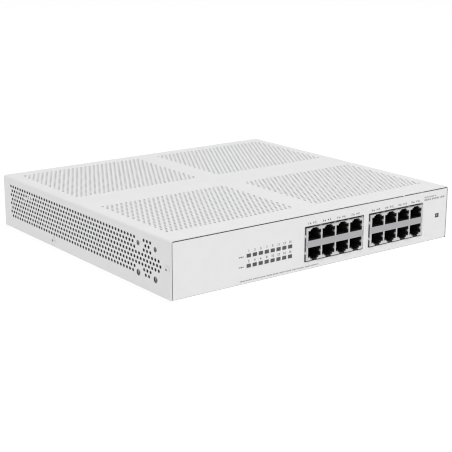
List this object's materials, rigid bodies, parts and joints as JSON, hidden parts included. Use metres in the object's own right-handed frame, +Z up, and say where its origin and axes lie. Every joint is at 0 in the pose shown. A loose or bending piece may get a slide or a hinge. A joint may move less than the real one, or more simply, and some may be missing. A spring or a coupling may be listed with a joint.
{
  "type": "desktop network switch",
  "caption": "Low white steel case with a perforated lid and sides, two blocks of stacked network sockets and two rows of small lamp windows on its front panel.",
  "frame": {"origin": "on the surface the feet stand on, under the centre of the case", "axes": "+Z up, -Y out of the front panel with the sockets, +X to the right seen from the front"},
  "size_m": [0.275, 0.2538, 0.0454],
  "materials": {
    "white_paint": "fine textured matt white powder coat",
    "foot_rubber": "matt black elastomer",
    "plated_steel": "satin nickel plated steel",
    "black_plastic": "fine matt black moulding",
    "contact_gold": "gold plated spring wire",
    "board_laminate": "green solder mask, satin",
    "light_pipe": "smoked clear polycarbonate",
    "plated_brass": "nickel plated brass blades",
    "thermal_pad": "soft blue-grey gap filler",
    "anodised_aluminium": "black anodised extrusion",
    "ferrite": "dark ferrite with taped winding",
    "capacitor_sleeve": "dark blue shrink sleeve",
    "copper_winding": "enamelled copper winding",
    "aluminium": "mill finish",
    "fuse_body": "tan fuse body",
    "insulating_film": "translucent polyester film",
    "white_nylon": "natural nylon",
    "lead_line": "brown insulation",
    "lead_neutral": "blue insulation",
    "lead_earth": "green insulation",
    "lead_output": "red insulation"
  },
  "bodies": {
    "root": {"base_chassis": "white_paint", "chip_heatsink": "anodised_aluminium", "cover_screw_front_left": "white_paint", "cover_screw_front_right": "white_paint", "cover_screw_middle_left": "white_paint", "cover_screw_middle_right": "white_paint", "earth_lead": "lead_earth", "foot_front_left": "foot_rubber", "foot_front_right": "foot_rubber", "foot_rear_left": "foot_rubber", "foot_rear_right": "foot_rubber", "ground_screw": "plated_steel", "inlet_pin_earth": "plated_brass", "inlet_pin_line": "plated_brass", "inlet_pin_neutral": "plated_brass", "inlet_screw_left": "plated_steel", "inlet_screw_right": "plated_steel", "insulating_sheet": "insulating_film", "lamp_light_pipe_lower": "light_pipe", "lamp_light_pipe_upper": "light_pipe", "light_pipe_holder": "black_plastic", "main_board": "board_laminate", "main_board_screw_front_left": "plated_steel", "main_board_screw_front_right": "plated_steel", "main_board_screw_rear_left": "plated_steel", "main_board_screw_rear_right": "plated_steel", "mains_choke": "copper_winding", "mains_fuse": "fuse_body", "mains_inlet": "black_plastic", "mains_lead_line": "lead_line", "mains_lead_neutral": "lead_neutral", "output_capacitor": "capacitor_sleeve", "port_contacts_left": "contact_gold", "port_contacts_right": "contact_gold", "port_housing_left": "black_plastic", "port_housing_right": "black_plastic", "port_shield_left": "plated_steel", "port_shield_right": "plated_steel", "power_board": "board_laminate", "power_board_screw_front_left": "plated_steel", "power_board_screw_front_right": "plated_steel", "power_board_screw_rear_left": "plated_steel", "power_board_screw_rear_right": "plated_steel", "power_header": "white_nylon", "power_light_pipe": "light_pipe", "rack_nut_lower_front_left": "plated_steel", "rack_nut_lower_front_right": "plated_steel", "rack_nut_lower_rear_left": "plated_steel", "rack_nut_lower_rear_right": "plated_steel", "rack_nut_upper_front_left": "plated_steel", "rack_nut_upper_front_right": "plated_steel", "rack_nut_upper_rear_left": "plated_steel", "rack_nut_upper_rear_right": "plated_steel", "supply_capacitor": "capacitor_sleeve", "supply_heatsink": "aluminium", "supply_lead": "lead_output", "supply_transformer": "ferrite", "switch_chip": "black_plastic", "thermal_pad": "thermal_pad", "top_cover": "white_paint"}
  },
  "joints": []
}
